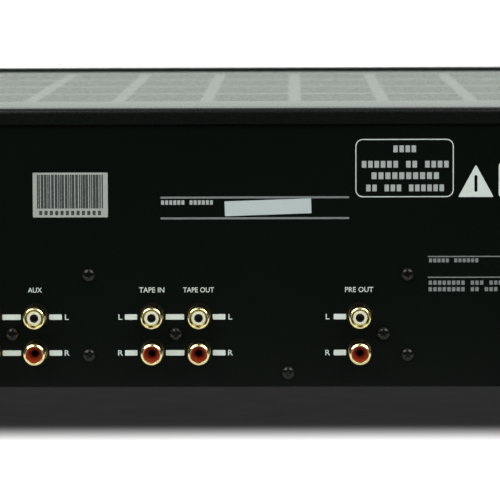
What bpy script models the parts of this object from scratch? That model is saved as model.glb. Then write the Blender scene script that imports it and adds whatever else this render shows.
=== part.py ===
"""Integrated stereo amplifier, one named object for each piece. Blender 4.5, metres, +Z up.

The front looks along -Y and the rear, with its sockets, along +Y. The origin is on the ground under the
middle of the amplifier, halfway between the front of the volume knob and the ends of the terminals.
"""

import math
from typing import NamedTuple

import bmesh
import bpy

MM = 0.001

# Driving dimensions
WIDTH = 430 * MM
DEPTH = 344 * MM  # outer face of the rear panel to outer face of the front sub-panel
FOOT_HEIGHT = 16 * MM
CASE_HEIGHT = 108 * MM  # underside of the pan to the top of the cover
SHEET = 1.2 * MM
GAP = 0.3 * MM
REACH = 200 * MM  # from the middle to the ends of the volume knob and of the speaker terminals

FLOOR = FOOT_HEIGHT
ROOF = FLOOR + CASE_HEIGHT
REAR = DEPTH / 2
FRONT = -DEPTH / 2
INNER_HALF = WIDTH / 2 - SHEET - GAP  # half width of the pieces between the cover's sides
UNDER_ROOF = ROOF - SHEET - GAP
PAN_TOP = FLOOR + SHEET
FLANGE = 10 * MM  # depth of the folded edges of the panels
JOINED = 0.4 * MM  # how far a folded edge reaches into its panel
FOOT_X = 165 * MM
FOOT_Y = 126 * MM

# Cover
VENT_FIELDS = 12
VENT_PITCH = 34.9 * MM
VENT_RIB = 5.5 * MM
VENT_REAR_BORDER = 44 * MM
VENT_FRONT_BORDER = 36 * MM
VENT_GROUPS = 4  # of rows, from front to rear, with the place of one row left plain between them
VENT_ROWS = 7
VENT_SLOT = 2.0 * MM
LIP_HEIGHT = 6.5 * MM

# Fascia
FASCIA_THICK = 8 * MM
FASCIA_RISE = 2.0 * MM  # how far it stands above the cover
FASCIA_DROP = 3 * MM  # how far it hangs below the pan
FASCIA_OVERHANG = 1 * MM
FASCIA_BACK = FRONT - GAP
FASCIA_FACE = FASCIA_BACK - FASCIA_THICK

# Phono sockets, as (x, height above the pan) on the rear panel
JACK_PITCH = 18 * MM
JACK_TOP = FLOOR + 27.8 * MM
JACK_BOTTOM = FLOOR + 13.9 * MM
LINE_X = [(99.8 + 18 * n) * MM for n in range(4)]
TAPE_X = [(36.9 + 18 * n) * MM for n in range(2)]
PRE_OUT_X = [-24.8 * MM]
BARREL_RADIUS = 4.15 * MM
BARREL_BORE = 3.55 * MM
BARREL_REACH = 9.4 * MM
INSULATOR_RADIUS = 3.3 * MM
INSULATOR_BORE = 1.65 * MM
INSULATOR_RECESS = 0.7 * MM
JACK_HOLE = 5.2 * MM
JACK_SCREW_Z = (JACK_TOP + JACK_BOTTOM) / 2
LINE_SPAN = (91 * MM, 162.6 * MM)
TAPE_SPAN = (28.1 * MM, 63.7 * MM)
PRE_OUT_SPAN = (-38 * MM, -16 * MM)

# Screws in the rear panel that hold what is behind it
STAY_SCREW_X = [79.3 * MM, -43.2 * MM]
STAY_SCREW_Z = [FLOOR + 43.7 * MM, FLOOR + 12.7 * MM]
REAR_SCREWS = (
    [(x, z) for x in STAY_SCREW_X for z in STAY_SCREW_Z]
    + [(x, JACK_SCREW_Z) for x in (108.8 * MM, 144.8 * MM, 45.9 * MM, -34 * MM)]
    + [(2.7 * MM, FLOOR + 5.8 * MM)]
)
SCREW_HOLE = 1.7 * MM

# Speaker terminals, 19 mm apart as double banana plugs need
POST_PITCH = 19 * MM
PLATE_X = -126.5 * MM
POSTS = {
    name: PLATE_X + (1.5 - n) * POST_PITCH
    for n, name in enumerate(("left_plus", "left_minus", "right_minus", "right_plus"))
}
POST_Z = FLOOR + 20 * MM
PLATE_THICK = 3 * MM
PLATE_FACE = REAR + GAP + PLATE_THICK
PLATE_HALF = (40.5 * MM, 12 * MM)

MAINS_X = -191 * MM
MAINS_Z = FLOOR + 28 * MM

# Notches in the rear wall of the pan, for the jack blocks, the terminals, the inlet and the stays
PAN_NOTCHES = [
    (88 * MM, 166 * MM),
    (72 * MM, 87 * MM),
    (26 * MM, 66 * MM),
    (-51 * MM, -14 * MM),
    (PLATE_X - PLATE_HALF[0], PLATE_X + PLATE_HALF[0]),
    (MAINS_X - 16 * MM, MAINS_X + 16 * MM),
]

# Front controls. The knob turns on a shaft in the part behind it, a potentiometer or a switch.
SHAFT_RADIUS = 3 * MM
SHAFT_BORE = 3.3 * MM
BUSH_RADIUS = 4.6 * MM
KNOB_CLEARANCE = 0.7 * MM
KNOB_WALL = 3.7 * MM  # from the end of a knob's bore to its face


class Control(NamedTuple):
    x: float
    z: float
    knob_radius: float
    knob_face: float  # how far in front of the middle the knob ends
    part: str
    part_half: float
    part_depth: float


CONTROLS = {
    "volume": Control(148 * MM, 70 * MM, 30 * MM, REACH, "volume_pot", 13 * MM, 14 * MM),
    "selector": Control(40 * MM, 70 * MM, 19 * MM, 198 * MM, "selector_switch", 14 * MM, 16 * MM),
    "treble": Control(-60 * MM, 78 * MM, 13 * MM, 196 * MM, "treble_pot", 8.5 * MM, 10 * MM),
    "bass": Control(-112 * MM, 78 * MM, 13 * MM, 196 * MM, "bass_pot", 8.5 * MM, 10 * MM),
}
POWER_X, POWER_Z = -186 * MM, 72 * MM
BUTTONS = {"speaker_button": -122 * MM, "tape_button": -86 * MM, "tone_button": -50 * MM}
BUTTON_Z = 38 * MM
PHONES_Z = 38 * MM
LAMP_Z = 96 * MM

# Inside
TOROID_CENTRE = (-122 * MM, -70 * MM)
TOROID_RADIUS = (19 * MM, 56 * MM)
TOROID_HEIGHT = 48 * MM
SINK_X = (-38.4 * MM, 74.5 * MM)
SINK_Y = (52 * MM, 88 * MM)
SINK_Z = (24 * MM, 112 * MM)
SINK_FINS = 13
SINK_WEB = 5 * MM
STAY_SHEET = 1.5 * MM
BOARD = 1.6 * MM
AMP_BOARD = ((-38 * MM, 130 * MM), (-62 * MM, 50 * MM), 26 * MM)
PRE_BOARD = ((-45 * MM, 172 * MM), (102 * MM, 168 * MM), 20.5 * MM)

MATERIALS = {  # colour, roughness, metallic
    "black_paint": ((0.012, 0.013, 0.013), 0.35, 0.0),
    "fascia_black": ((0.015, 0.015, 0.016), 0.38, 0.7),
    "knob_black": ((0.02, 0.02, 0.021), 0.32, 0.8),
    "black_plastic": ((0.015, 0.015, 0.015), 0.5, 0.0),
    "foot_rubber": ((0.02, 0.02, 0.02), 0.8, 0.0),
    "gold_plate": ((0.83, 0.62, 0.25), 0.22, 1.0),
    "red_plastic": ((0.38, 0.02, 0.015), 0.4, 0.0),
    "zinc_steel": ((0.55, 0.55, 0.53), 0.35, 1.0),
    "sink_black": ((0.03, 0.03, 0.03), 0.5, 0.6),
    "board_green": ((0.03, 0.12, 0.05), 0.4, 0.0),
    "winding_tape": ((0.16, 0.12, 0.03), 0.35, 0.0),
    "capacitor_sleeve": ((0.02, 0.03, 0.07), 0.3, 0.0),
    "lamp_lens": ((0.1, 0.5, 0.15), 0.15, 0.0),
}


def clear_scene():
    for obj in list(bpy.data.objects):
        bpy.data.objects.remove(obj)


def material(name):
    found = bpy.data.materials.get(name)
    if found:
        return found
    made = bpy.data.materials.new(name)
    made.use_nodes = True
    colour, roughness, metallic = MATERIALS[name]
    shader = made.node_tree.nodes["Principled BSDF"]
    shader.inputs["Base Color"].default_value = (*colour, 1)
    shader.inputs["Roughness"].default_value = roughness
    shader.inputs["Metallic"].default_value = metallic
    return made


def place(name, shape, finish, at=(0, 0, 0), faces=None):
    """Makes an object of a bmesh. faces turns the shape's +Z to the "rear" or the "front", or leaves it."""
    bmesh.ops.recalc_face_normals(shape, faces=shape.faces)
    mesh = bpy.data.meshes.new(name)
    shape.to_mesh(mesh)
    shape.free()
    obj = bpy.data.objects.new(name, mesh)
    obj.data.materials.append(material(finish))
    obj.location = at
    turn = {None: 0, "rear": -math.pi / 2, "front": math.pi / 2}[faces]
    obj.rotation_euler = (turn, 0, 0)
    bpy.context.scene.collection.objects.link(obj)
    if faces or len(mesh.polygons) > 40:
        mesh.shade_smooth()
        mesh.set_sharp_from_angle(angle=math.radians(35))
    return obj


def helper(name, shape, at=(0, 0, 0), faces=None):
    """A cutter or an addition for a Boolean. It isn't part of the object."""
    obj = place(name, shape, "black_plastic", at, faces)
    obj.hide_render = True
    obj.display_type = "WIRE"
    return obj


def boolean(obj, other, operation):
    modifier = obj.modifiers.new(operation.lower(), "BOOLEAN")
    modifier.operation = operation
    modifier.object = other


def cut(obj, *cutters):
    for cutter in cutters:
        boolean(obj, cutter, "DIFFERENCE")


def add_to(obj, *additions):
    for addition in additions:
        boolean(obj, addition, "UNION")


def box(shape, x, y, z):
    """Adds a box between the two limits on each axis."""
    made = bmesh.ops.create_cube(shape, size=1)
    for vertex in made["verts"]:
        for axis, (low, high) in enumerate((x, y, z)):
            vertex.co[axis] = high if vertex.co[axis] > 0 else low
    return shape


def boxes(*limits):
    shape = bmesh.new()
    for x, y, z in limits:
        box(shape, x, y, z)
    return shape


def about(centre, half):
    return (centre - half, centre + half)


def ring(shape, radius, height, segments, at):
    """Vertices round a circle, or the same vertex for all of them where the circle has shrunk to the axis."""
    if radius == 0:
        return [shape.verts.new((*at, height))] * segments
    angles = [2 * math.pi * n / segments for n in range(segments)]
    return [
        shape.verts.new((at[0] + radius * math.cos(a), at[1] + radius * math.sin(a), height))
        for a in angles
    ]


def turned(profile, segments, shape=None, at=(0, 0)):
    """Turns (radius, height) points about Z. A profile that starts and ends on the axis makes a solid of
    revolution, and any other profile is closed into a ring."""
    shape = shape or bmesh.new()
    rings = [ring(shape, radius, height, segments, at) for radius, height in profile]
    if profile[0][0] > 0:
        rings.append(rings[0])
    for low, high in zip(rings, rings[1:]):
        for n in range(segments):
            after = (n + 1) % segments
            corners = [low[n], low[after], high[after], high[n]]
            shape.faces.new(dict.fromkeys(corners))
    return shape


def rods(places, radius, low, high, segments=16):
    """Separate cylinders along Z at (x, y) places."""
    shape = bmesh.new()
    for at in places:
        turned([(0, low), (radius, low), (radius, high), (0, high)], segments, shape, at)
    return shape


def rod(radius, low, high, segments=16):
    return rods([(0, 0)], radius, low, high, segments)


def extruded(outline, low, high):
    """A prism of an (x, y) outline along Z."""
    shape = bmesh.new()
    face = shape.faces.new([shape.verts.new((x, y, low)) for x, y in outline])
    made = bmesh.ops.extrude_face_region(shape, geom=[face])
    lifted = [v for v in made["geom"] if isinstance(v, bmesh.types.BMVert)]
    bmesh.ops.translate(shape, vec=(0, 0, high - low), verts=lifted)
    return shape


def rear_rods(name, places, radius, low, high, segments=16):
    """A helper of cylinders that look to the rear, at (x, z) places, between two distances along Y."""
    on_panel = [(x, -z) for x, z in places]
    return helper(name, rods(on_panel, radius, low, high, segments), faces="rear")


def front_rods(name, places, radius, low, high, segments=16):
    """As rear_rods, for cylinders that look to the front. Heights are distances along -Y."""
    return helper(name, rods(places, radius, low, high, segments), faces="front")


# Casing


def bottom_pan():
    wall = 14 * MM
    half_y = REAR - SHEET - GAP
    tray = place(
        "bottom_pan",
        boxes((about(0, INNER_HALF), about(0, half_y), (FLOOR, FLOOR + wall))),
        "black_paint",
    )
    hollow = boxes(
        (about(0, INNER_HALF - SHEET), about(0, half_y - SHEET), (PAN_TOP, FLOOR + 2 * wall))
    )
    cut(tray, helper("pan_hollow", hollow))
    behind = (half_y - 3 * SHEET, half_y + SHEET)
    above = (PAN_TOP + 1.5 * MM, FLOOR + 2 * wall)
    notches = boxes(*[(x, behind, above) for x in PAN_NOTCHES])
    cut(tray, helper("pan_notches", notches))
    slots = bmesh.new()
    for row in range(4):
        for side in (-1, 1):
            centre = (SINK_X[0] + SINK_X[1]) / 2 + side * 28 * MM
            y = SINK_Y[0] + 6 * MM + row * 9 * MM
            box(slots, about(centre, 22 * MM), about(y, 2 * MM), (FLOOR - SHEET, PAN_TOP + SHEET))
    cut(tray, helper("pan_slots", slots))
    stands = rods(stand_places(), 4 * MM, PAN_TOP - 0.4 * MM, AMP_BOARD[2] - GAP, 8)
    add_to(tray, helper("pan_stands", stands))
    return tray


def stand_places():
    """Pressed stands under the corners of the amplifier board."""
    inset = 6 * MM
    (x0, x1), (y0, y1), _ = AMP_BOARD
    return [(x, y) for x in (x0 + inset, x1 - inset) for y in (y0 + inset, y1 - inset)]


def vent_cutters():
    """Slots through the roof of the cover, in side-by-side fields with plain ribs between them."""
    shape = bmesh.new()
    first = FRONT + VENT_FRONT_BORDER
    rows = VENT_GROUPS * (VENT_ROWS + 1) - 1
    pitch = (DEPTH - VENT_FRONT_BORDER - VENT_REAR_BORDER) / rows
    for field in range(VENT_FIELDS):
        x = (field - (VENT_FIELDS - 1) / 2) * VENT_PITCH
        for row in range(rows):
            if row % (VENT_ROWS + 1) == VENT_ROWS:
                continue
            y = first + (row + 0.5) * pitch
            box(
                shape,
                about(x, (VENT_PITCH - VENT_RIB) / 2),
                about(y, VENT_SLOT / 2),
                (ROOF - 2 * SHEET, ROOF + SHEET),
            )
    return shape


def top_cover():
    back = REAR + GAP + SHEET
    shell = place(
        "top_cover",
        boxes((about(0, WIDTH / 2), (FRONT, back), (FLOOR + 0.6 * MM, ROOF))),
        "black_paint",
    )
    below = boxes(
        (
            about(0, WIDTH / 2 - SHEET),
            (FRONT - 10 * MM, REAR + GAP),
            (FLOOR - 10 * MM, ROOF - SHEET),
        )
    )
    cut(shell, helper("cover_hollow", below))
    under_lip = boxes(
        (
            about(0, WIDTH / 2 - SHEET),
            (REAR - 10 * MM, back + 10 * MM),
            (FLOOR - 10 * MM, ROOF - LIP_HEIGHT),
        )
    )
    cut(shell, helper("cover_rear_opening", under_lip))
    cut(shell, helper("cover_slots", vent_cutters()))
    return shell


def rear_panel():
    inside = REAR - SHEET
    above_pan = FLOOR + 15 * MM
    plate = place(
        "rear_panel",
        boxes((about(0, INNER_HALF), (inside, REAR), (FLOOR, UNDER_ROOF))),
        "black_paint",
    )
    folded = (inside - FLANGE, inside + JOINED)
    top = (about(0, INNER_HALF), folded, (UNDER_ROOF - SHEET, UNDER_ROOF))
    add_to(plate, helper("rear_top_flange", boxes(top)))
    for name, side in (("left", 1), ("right", -1)):
        edges = sorted((side * INNER_HALF, side * (INNER_HALF - SHEET)))
        ear = (edges, folded, (above_pan, UNDER_ROOF - JOINED))
        add_to(plate, helper(f"rear_{name}_flange", boxes(ear)))
    jacks = [(x, z) for x in LINE_X + TAPE_X + PRE_OUT_X for z in (JACK_TOP, JACK_BOTTOM)]
    through = (inside - 2 * MM, REAR + 2 * MM)
    cut(plate, rear_rods("rear_jack_holes", jacks, JACK_HOLE, *through))
    cut(plate, rear_rods("rear_screw_holes", REAR_SCREWS, SCREW_HOLE, *through, segments=8))
    openings = boxes(
        (about(PLATE_X, 34 * MM), through, about(POST_Z, 8 * MM)),
        (about(MAINS_X, 14 * MM), through, about(MAINS_Z, 10.5 * MM)),
    )
    cut(plate, helper("rear_openings", openings))
    return plate


def front_holes(name, low, high):
    """Cutters for what passes through the sub-panel and the fascia, between two distances along Y."""
    bushes = [(c.x, c.z) for c in CONTROLS.values()] + [(POWER_X, PHONES_Z)]
    yield front_rods(f"{name}_bush_holes", bushes, 5.3 * MM, -high, -low)
    yield front_rods(f"{name}_lamp_hole", [(POWER_X, LAMP_Z)], 2 * MM, -high, -low, 12)


def front_subpanel():
    inside = FRONT + SHEET
    plate = place(
        "front_subpanel",
        boxes((about(0, INNER_HALF), (FRONT, inside), (FLOOR, UNDER_ROOF))),
        "zinc_steel",
    )
    folded = (inside - JOINED, inside + FLANGE)
    top = (about(0, INNER_HALF), folded, (UNDER_ROOF - SHEET, UNDER_ROOF))
    add_to(plate, helper("subpanel_top_flange", boxes(top)))
    through = (FRONT - 2 * MM, inside + 2 * MM)
    for cutter in front_holes("subpanel", *through):
        cut(plate, cutter)
    stems = [(about(POWER_X, 4 * MM), through, about(POWER_Z, 4 * MM))]
    stems += [(about(x, 3.5 * MM), through, about(BUTTON_Z, 3.5 * MM)) for x in BUTTONS.values()]
    cut(plate, helper("subpanel_stem_holes", boxes(*stems)))
    return plate


def front_fascia():
    half = WIDTH / 2 + FASCIA_OVERHANG
    plate = place(
        "front_fascia",
        boxes(
            (
                about(0, half),
                (FASCIA_FACE, FASCIA_BACK),
                (FLOOR - FASCIA_DROP, ROOF + FASCIA_RISE),
            )
        ),
        "fascia_black",
    )
    edge = plate.modifiers.new("edge", "BEVEL")
    edge.width = 1.2 * MM
    edge.segments = 1
    through = (FASCIA_FACE - 2 * MM, FASCIA_BACK + 2 * MM)
    for cutter in front_holes("fascia", *through):
        cut(plate, cutter)
    windows = [(about(POWER_X, 10.4 * MM), through, about(POWER_Z, 5.9 * MM))]
    windows += [(about(x, 8.4 * MM), through, about(BUTTON_Z, 3.9 * MM)) for x in BUTTONS.values()]
    cut(plate, helper("fascia_windows", boxes(*windows)))
    return plate


def feet():
    top = FLOOR - GAP
    profile = [
        (0, 5 * MM),
        (4 * MM, 5 * MM),
        (4 * MM, 0),
        (19 * MM, 0),
        (20 * MM, 1 * MM),
        (22 * MM, top),
        (0, top),
    ]
    for y, row in ((-FOOT_Y, "front"), (FOOT_Y, "rear")):
        for x, side in ((-FOOT_X, "left"), (FOOT_X, "right")):
            place(f"foot_{row}_{side}", turned(profile, 24), "foot_rubber", at=(x, y, 0))


# Sockets and terminals on the rear


def jack_block(name, columns, span):
    """Sockets in two rows: a moulded housing whose insulators stand inside barrels on one earth plate."""
    places = [(x, z) for x in columns for z in (JACK_TOP, JACK_BOTTOM)]
    low_z, high_z = JACK_BOTTOM - 6.5 * MM, JACK_TOP + 6.5 * MM
    plate_y = (REAR - SHEET - 1.3 * MM, REAR - SHEET - GAP)
    mouth = REAR + BARREL_REACH
    tips = mouth - INSULATOR_RECESS
    body_front = plate_y[0] - GAP

    housing = place(
        f"{name}_jack_housing",
        boxes((span, (body_front - 13 * MM, body_front), (low_z, high_z))),
        "black_plastic",
    )
    tubes = rear_rods(f"{name}_insulators", places, INSULATOR_RADIUS, body_front - 1 * MM, tips)
    add_to(housing, tubes)
    bores = rear_rods(f"{name}_bores", places, INSULATOR_BORE, tips - 12 * MM, tips + 2 * MM, 12)
    cut(housing, bores)

    shells = place(f"{name}_jack_shells", boxes((span, plate_y, (low_z, high_z))), "gold_plate")
    barrels = rear_rods(f"{name}_barrels", places, BARREL_RADIUS, plate_y[0] + GAP, mouth)
    add_to(shells, barrels)
    middle = plate_y[0] - 2 * MM
    cut(shells, rear_rods(f"{name}_barrel_bores", places, BARREL_BORE, middle, mouth + 2 * MM))
    screws = [(x, z) for x, z in REAR_SCREWS if z == JACK_SCREW_Z and span[0] < x < span[1]]
    cut(shells, rear_rods(f"{name}_screw_holes", screws, SCREW_HOLE, middle, REAR, 8))


def speaker_terminals():
    places = [(x, POST_Z) for x in POSTS.values()]
    back = REAR + GAP
    plate = place(
        "speaker_terminal_plate",
        boxes((about(PLATE_X, PLATE_HALF[0]), (back, PLATE_FACE), about(POST_Z, PLATE_HALF[1]))),
        "black_plastic",
    )
    cut(plate, rear_rods("terminal_holes", places, 3.2 * MM, back - MM, PLATE_FACE + MM, 12))

    seat = (PLATE_FACE + GAP, PLATE_FACE + 2.8 * MM)
    stud_end = REAR + 23 * MM
    stud = [
        (0, REAR - 12 * MM),
        (2 * MM, REAR - 12 * MM),
        (2 * MM, back - 3.5 * MM),
        (4.2 * MM, back - 3.5 * MM),
        (4.2 * MM, back - GAP),
        (2.8 * MM, back - GAP),
        (2.8 * MM, seat[0]),
        (5.6 * MM, seat[0]),
        (5.6 * MM, seat[1]),
        (2 * MM, seat[1]),
        (2 * MM, stud_end),
        (0, stud_end),
    ]
    collar = [
        (2.6 * MM, seat[1] + GAP),
        (5.4 * MM, seat[1] + GAP),
        (5.4 * MM, seat[1] + 2 * MM),
        (2.6 * MM, seat[1] + 2 * MM),
    ]
    cap_base = seat[1] + 2 * MM + GAP
    cap = [
        (2.5 * MM, cap_base),
        (6 * MM, cap_base),
        (6.5 * MM, cap_base + 2 * MM),
        (6.5 * MM, REACH - 1 * MM),
        (5.8 * MM, REACH),
        (2.1 * MM, REACH),
        (2.1 * MM, stud_end + MM),
        (2.5 * MM, stud_end + MM),
    ]
    for name, x in POSTS.items():
        at = (x, 0, POST_Z)
        place(f"speaker_post_{name}", turned(stud, 12), "gold_plate", at, "rear")
        place(f"speaker_collar_{name}", turned(collar, 12), "gold_plate", at, "rear")
        finish = "red_plastic" if name.endswith("plus") else "black_plastic"
        place(f"speaker_cap_{name}", turned(cap, 12), finish, at, "rear")


def mains_inlet():
    """Three-pin appliance inlet: a flange outside the panel and a body through it."""
    face = REAR + GAP + 2.2 * MM
    inlet = place(
        "mains_inlet",
        boxes((about(MAINS_X, 16 * MM), (REAR + GAP, face), about(MAINS_Z, 12.5 * MM))),
        "black_plastic",
    )
    body = (about(MAINS_X, 13.6 * MM), (REAR - 19 * MM, REAR + MM), about(MAINS_Z, 10.1 * MM))
    add_to(inlet, helper("inlet_body", boxes(body)))
    cavity = (about(MAINS_X, 12 * MM), (REAR - 15 * MM, face + MM), about(MAINS_Z, 8.2 * MM))
    cut(inlet, helper("inlet_cavity", boxes(cavity)))
    pins = [
        (about(MAINS_X + x * MM, 1 * MM), (REAR - 16 * MM, REAR - 3 * MM), about(MAINS_Z + z * MM, 2 * MM))
        for x, z in ((-7, -1.5), (0, 2.5), (7, -1.5))
    ]
    add_to(inlet, helper("inlet_pins", boxes(*pins)))
    return inlet


# Front controls


def rotary_control(name, control):
    """A knob on a shaft that turns in the bush of a potentiometer or a switch. Heights run along -Y."""
    at = (control.x, 0, control.z)
    radius = control.knob_radius
    panel_back = -(FRONT + SHEET + GAP)
    back = -FASCIA_FACE + KNOB_CLEARANCE
    face = control.knob_face
    length = face - back
    knob = [
        (0, face - KNOB_WALL),
        (SHAFT_BORE, face - KNOB_WALL),
        (SHAFT_BORE, back),
        (radius, back),
        (radius, back + 0.55 * length),
        (0.9 * radius, back + 0.62 * length),
        (0.88 * radius, face - 0.8 * MM),
        (0.85 * radius, face),
        (0, face),
    ]
    segments = 32 if radius > 25 * MM else 24
    place(f"{name}_knob", turned(knob, segments), "knob_black", at, "front")

    rear = panel_back - control.part_depth
    shaft = rod(SHAFT_RADIUS, rear + 3 * MM, face - KNOB_WALL - GAP)
    place(f"{name}_shaft", shaft, "zinc_steel", at, "front")

    square = about(0, control.part_half)
    body = place(control.part, boxes((square, square, (rear, panel_back))), "zinc_steel", at, "front")
    bush = rod(BUSH_RADIUS, panel_back - 2 * MM, panel_back + 7.5 * MM)
    add_to(body, helper(f"{name}_bush", bush, at, "front"))
    bore = rod(SHAFT_BORE, rear + 1.5 * MM, panel_back + 12 * MM)
    cut(body, helper(f"{name}_bore", bore, at, "front"))


def push_button(name, x, z, half_x, half_z, proud, stem_half, stem_end):
    """A cap in a window of the fascia, with a stem into its switch."""
    face = FASCIA_FACE - proud
    back = FASCIA_BACK - 3.8 * MM
    button = place(name, boxes((about(x, half_x), (face, back), about(z, half_z))), "knob_black")
    stem = boxes((about(x, stem_half), (back - MM, stem_end), about(z, stem_half)))
    add_to(button, helper(f"{name}_stem", stem))


def push_buttons():
    behind = FRONT + SHEET
    push_button("power_button", POWER_X, POWER_Z, 10 * MM, 5.5 * MM, 5 * MM, 2.5 * MM, behind + 9 * MM)
    switch = place(
        "power_switch",
        boxes((about(POWER_X, 7 * MM), (behind + GAP, behind + 26 * MM), about(POWER_Z, 7 * MM))),
        "black_plastic",
    )
    pocket = (about(POWER_X, 3 * MM), (behind - MM, behind + 14 * MM), about(POWER_Z, 3 * MM))
    cut(switch, helper("power_pocket", boxes(pocket)))

    board_y = (behind + 14 * MM, behind + 14 * MM + BOARD)
    board = place(
        "button_switch_board",
        boxes(((-134 * MM, -38 * MM), board_y, about(BUTTON_Z, 12 * MM))),
        "board_green",
    )
    switches = []
    pockets = []
    for name, x in BUTTONS.items():
        push_button(name, x, BUTTON_Z, 8 * MM, 3.5 * MM, 3 * MM, 2 * MM, behind + 7 * MM)
        switches.append((about(x, 5 * MM), (behind + GAP, board_y[0] + GAP), about(BUTTON_Z, 5 * MM)))
        pockets.append((about(x, 2.5 * MM), (behind - MM, behind + 11 * MM), about(BUTTON_Z, 2.5 * MM)))
    add_to(board, helper("button_switches", boxes(*switches)))
    cut(board, helper("button_pockets", boxes(*pockets)))


def headphone_jack():
    """Quarter-inch socket: a body behind the sub-panel, a bush through both panels and a ring in front."""
    at = (POWER_X, 0, PHONES_Z)
    panel_back = -(FRONT + SHEET + GAP)
    ring_back = -FASCIA_FACE + GAP
    jack = place(
        "headphone_jack",
        boxes((about(0, 8 * MM), about(0, 8 * MM), (panel_back - 26 * MM, panel_back))),
        "black_plastic",
        at,
        "front",
    )
    bush = [
        (0, panel_back - 2 * MM),
        (4.7 * MM, panel_back - 2 * MM),
        (4.7 * MM, ring_back),
        (7 * MM, ring_back),
        (6.4 * MM, ring_back + 1.6 * MM),
        (0, ring_back + 1.6 * MM),
    ]
    add_to(jack, helper("phones_bush", turned(bush, 16), at, "front"))
    bore = rod(3.25 * MM, panel_back - 20 * MM, ring_back + 4 * MM)
    cut(jack, helper("phones_bore", bore, at, "front"))
    return jack


def power_lamp():
    tip = -FASCIA_FACE + 1 * MM
    back = -FRONT - 8 * MM
    radius = 1.6 * MM
    profile = [(0, back), (radius, back), (radius, tip - 0.8 * MM), (0.6 * radius, tip), (0, tip)]
    place("power_lamp", turned(profile, 12), "lamp_lens", (POWER_X, 0, LAMP_Z), "front")


# Inside


def toroidal_transformer():
    inner, outer = TOROID_RADIUS
    low = PAN_TOP + GAP
    high = low + TOROID_HEIGHT
    corner = 9 * MM
    profile = []
    for (r, h), start in (
        ((outer - corner, low + corner), -90),
        ((outer - corner, high - corner), 0),
        ((inner + corner, high - corner), 90),
        ((inner + corner, low + corner), 180),
    ):
        for step in range(4):
            angle = math.radians(start + 30 * step)
            profile.append((r + corner * math.cos(angle), h + corner * math.sin(angle)))
    place("transformer_winding", turned(profile, 28), "winding_tape", (*TOROID_CENTRE, 0))

    clamp = [
        (0, low),
        (3.5 * MM, low),
        (3.5 * MM, high + GAP),
        (30 * MM, high + GAP),
        (30 * MM, high + 2 * MM),
        (6 * MM, high + 2 * MM),
        (6 * MM, high + 6 * MM),
        (0, high + 6 * MM),
    ]
    place("transformer_clamp", turned(clamp, 20), "zinc_steel", (*TOROID_CENTRE, 0))


def heatsink():
    """Upright fins on a web, drawn as a comb and extruded along Z."""
    (x0, x1), (y0, y1) = SINK_X, SINK_Y
    pitch = (x1 - x0) / (SINK_FINS - 0.6)
    fin = 0.4 * pitch
    comb = [(x0, y0)]
    for n in range(SINK_FINS):
        left = x0 + n * pitch
        comb += [(left, y1), (left + fin, y1)]
        if n < SINK_FINS - 1:
            comb += [(left + fin, y0 + SINK_WEB), (left + pitch, y0 + SINK_WEB)]
    comb.append((x1, y0))
    place("heatsink", extruded(comb, *SINK_Z), "sink_black")


def heatsink_stays():
    """Angles that tie the ends of the heatsink to the rear panel."""
    back = REAR - SHEET - GAP
    for name, end, side in (("left", SINK_X[1] + GAP, 1), ("right", SINK_X[0] - GAP, -1)):
        outline = [
            (end, SINK_Y[0] + 2 * MM),
            (end + side * STAY_SHEET, SINK_Y[0] + 2 * MM),
            (end + side * STAY_SHEET, back - STAY_SHEET),
            (end + side * 11 * MM, back - STAY_SHEET),
            (end + side * 11 * MM, back),
            (end, back),
        ]
        place(f"heatsink_stay_{name}", extruded(outline, 24 * MM, 66 * MM), "zinc_steel")


def boards():
    for name, (x, y, z) in (("amplifier_board", AMP_BOARD), ("preamp_board", PRE_BOARD)):
        place(name, boxes((x, y, (z, z + BOARD))), "board_green")
    board_top = AMP_BOARD[2] + BOARD + GAP
    for name, x in (("left", 50 * MM), ("right", 8 * MM)):
        profile = [
            (0, board_top),
            (15 * MM, board_top),
            (15 * MM, board_top + 49 * MM),
            (14 * MM, board_top + 50 * MM),
            (0, board_top + 50 * MM),
        ]
        place(f"filter_capacitor_{name}", turned(profile, 20), "capacitor_sleeve", (x, -30 * MM, 0))
    for name, x in (("left", 40 * MM), ("right", 0)):
        face = SINK_Y[0] - GAP
        package = boxes((about(x, 8 * MM), (face - 5 * MM, face), (46 * MM, 66 * MM)))
        place(f"power_transistor_{name}", package, "black_plastic")


def main():
    clear_scene()
    bottom_pan()
    top_cover()
    rear_panel()
    front_subpanel()
    front_fascia()
    feet()
    jack_block("line", LINE_X, LINE_SPAN)
    jack_block("tape", TAPE_X, TAPE_SPAN)
    jack_block("pre_out", PRE_OUT_X, PRE_OUT_SPAN)
    speaker_terminals()
    mains_inlet()
    for name, control in CONTROLS.items():
        rotary_control(name, control)
    push_buttons()
    headphone_jack()
    power_lamp()
    toroidal_transformer()
    heatsink()
    heatsink_stays()
    boards()


main()
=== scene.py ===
"""The finished look of a black stereo amplifier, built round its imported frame.

Metres, +Z up. The front looks along -Y, and the rear, with its sockets, along +Y.
"""

import math
from collections import Counter
from functools import partial

import bmesh
import bpy
from mathutils import Matrix, Vector


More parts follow.
